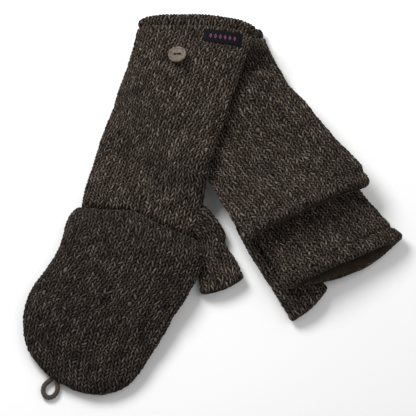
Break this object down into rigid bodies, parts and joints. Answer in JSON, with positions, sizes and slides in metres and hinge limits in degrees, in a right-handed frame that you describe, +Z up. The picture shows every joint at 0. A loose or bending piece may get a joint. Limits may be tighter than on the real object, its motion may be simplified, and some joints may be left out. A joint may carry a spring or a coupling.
{
  "type": "convertible flip-top mittens",
  "caption": "Pair of lined knitted mittens with open fingers, each with a flip-top cap that loops onto a cuff button; one cap is worn over the fingers, the other is turned back.",
  "frame": {"origin": "middle of the pair's box in plan, on the surface it lies on", "axes": "+Z up from the surface, +Y towards the cuffs of the crossed pair, +X towards the left mitten's side"},
  "size_m": [0.2706, 0.2754, 0.0515],
  "materials": {
    "wool": "heathered stocking-stitch knit",
    "hem_wool": "turned and stitched knit edge",
    "fleece": "brushed fleece",
    "yarn": "twisted yarn",
    "coconut": "smooth, half gloss",
    "cotton_thread": "twisted thread",
    "label_weave": "damask weave"
  },
  "bodies": {
    "left_hand": {"left_hand_shell": "wool", "left_hand_lining": "fleece", "left_cuff_hem": "hem_wool", "left_finger_hem": "hem_wool", "left_cap_seam": "yarn"},
    "left_thumb": {"left_thumb_sleeve": "wool", "left_thumb_lining": "fleece", "left_thumb_hem": "hem_wool"},
    "left_cap": {"left_cap_shell": "wool", "left_cap_lining": "fleece", "left_cap_hem": "hem_wool"},
    "left_button": {"left_button": "coconut", "left_button_thread": "cotton_thread"},
    "left_loop": {"left_button_loop": "yarn"},
    "right_hand": {"right_hand_shell": "wool", "right_hand_lining": "fleece", "right_cuff_hem": "hem_wool", "right_finger_hem": "hem_wool", "right_cap_seam": "yarn", "right_label": "label_weave"},
    "right_thumb": {"right_thumb_sleeve": "wool", "right_thumb_lining": "fleece", "right_thumb_hem": "hem_wool"},
    "right_cap": {"right_cap_shell": "wool", "right_cap_lining": "fleece", "right_cap_hem": "hem_wool"},
    "right_button": {"right_button": "coconut", "right_button_thread": "cotton_thread"},
    "right_loop": {"right_button_loop": "yarn"}
  },
  "joints": [
    {"name": "left_cap_flip", "type": "hinge", "parent": "left_hand", "child": "left_cap", "pos_m": [0.0629, 0.00047, 0.02401], "axis": [0.8475, 0.5093, -0.1492], "range_deg": [0, 176], "deforming": ["left_cap_shell", "left_cap_lining", "left_cap_hem", "left_button_loop"]},
    {"name": "right_cap_flip", "type": "hinge", "parent": "right_hand", "child": "right_cap", "pos_m": [-0.05641, -0.01341, 0.02321], "axis": [-0.9511, 0.309, 0], "range_deg": [0, 150], "deforming": ["right_cap_shell", "right_cap_lining", "right_cap_hem", "right_button_loop"]},
    {"name": "left_thumb_swing", "type": "hinge", "parent": "left_hand", "child": "left_thumb", "pos_m": [0.02244, -0.00985, 0.00596], "axis": [0, 0, 1], "range_deg": [-20, 0], "deforming": ["left_thumb_sleeve", "left_thumb_lining"]},
    {"name": "right_thumb_swing", "type": "hinge", "parent": "right_hand", "child": "right_thumb", "pos_m": [-0.01091, -0.00927, 0.00626], "axis": [0, 0, 1], "range_deg": [0, 25], "deforming": ["right_thumb_sleeve", "right_thumb_lining"]},
    {"name": "left_button_tilt", "type": "hinge", "parent": "left_hand", "child": "left_button", "pos_m": [0.00488, 0.10091, 0.01426], "axis": [-0.8571, -0.5151, 0], "range_deg": [-10, 10]},
    {"name": "right_button_tilt", "type": "hinge", "parent": "right_hand", "child": "right_button", "pos_m": [-0.02601, 0.10603, 0.04456], "axis": [0.9511, -0.309, 0], "range_deg": [-10, 10]},
    {"name": "left_loop_swing", "type": "hinge", "parent": "left_cap", "child": "left_loop", "pos_m": [0.00817, 0.09542, 0.01581], "axis": [0, 0, 1], "range_deg": [-8, 8]},
    {"name": "right_loop_swing", "type": "hinge", "parent": "right_cap", "child": "right_loop", "pos_m": [-0.11319, -0.12344, 0.00306], "axis": [-0.9511, 0.309, 0], "range_deg": [0, 80]},
    {"name": "right_mitten_lift", "type": "slide", "parent": "left_hand", "child": "right_hand", "axis": [0, 0, 1], "range_m": [0, 0.12]}
  ]
}
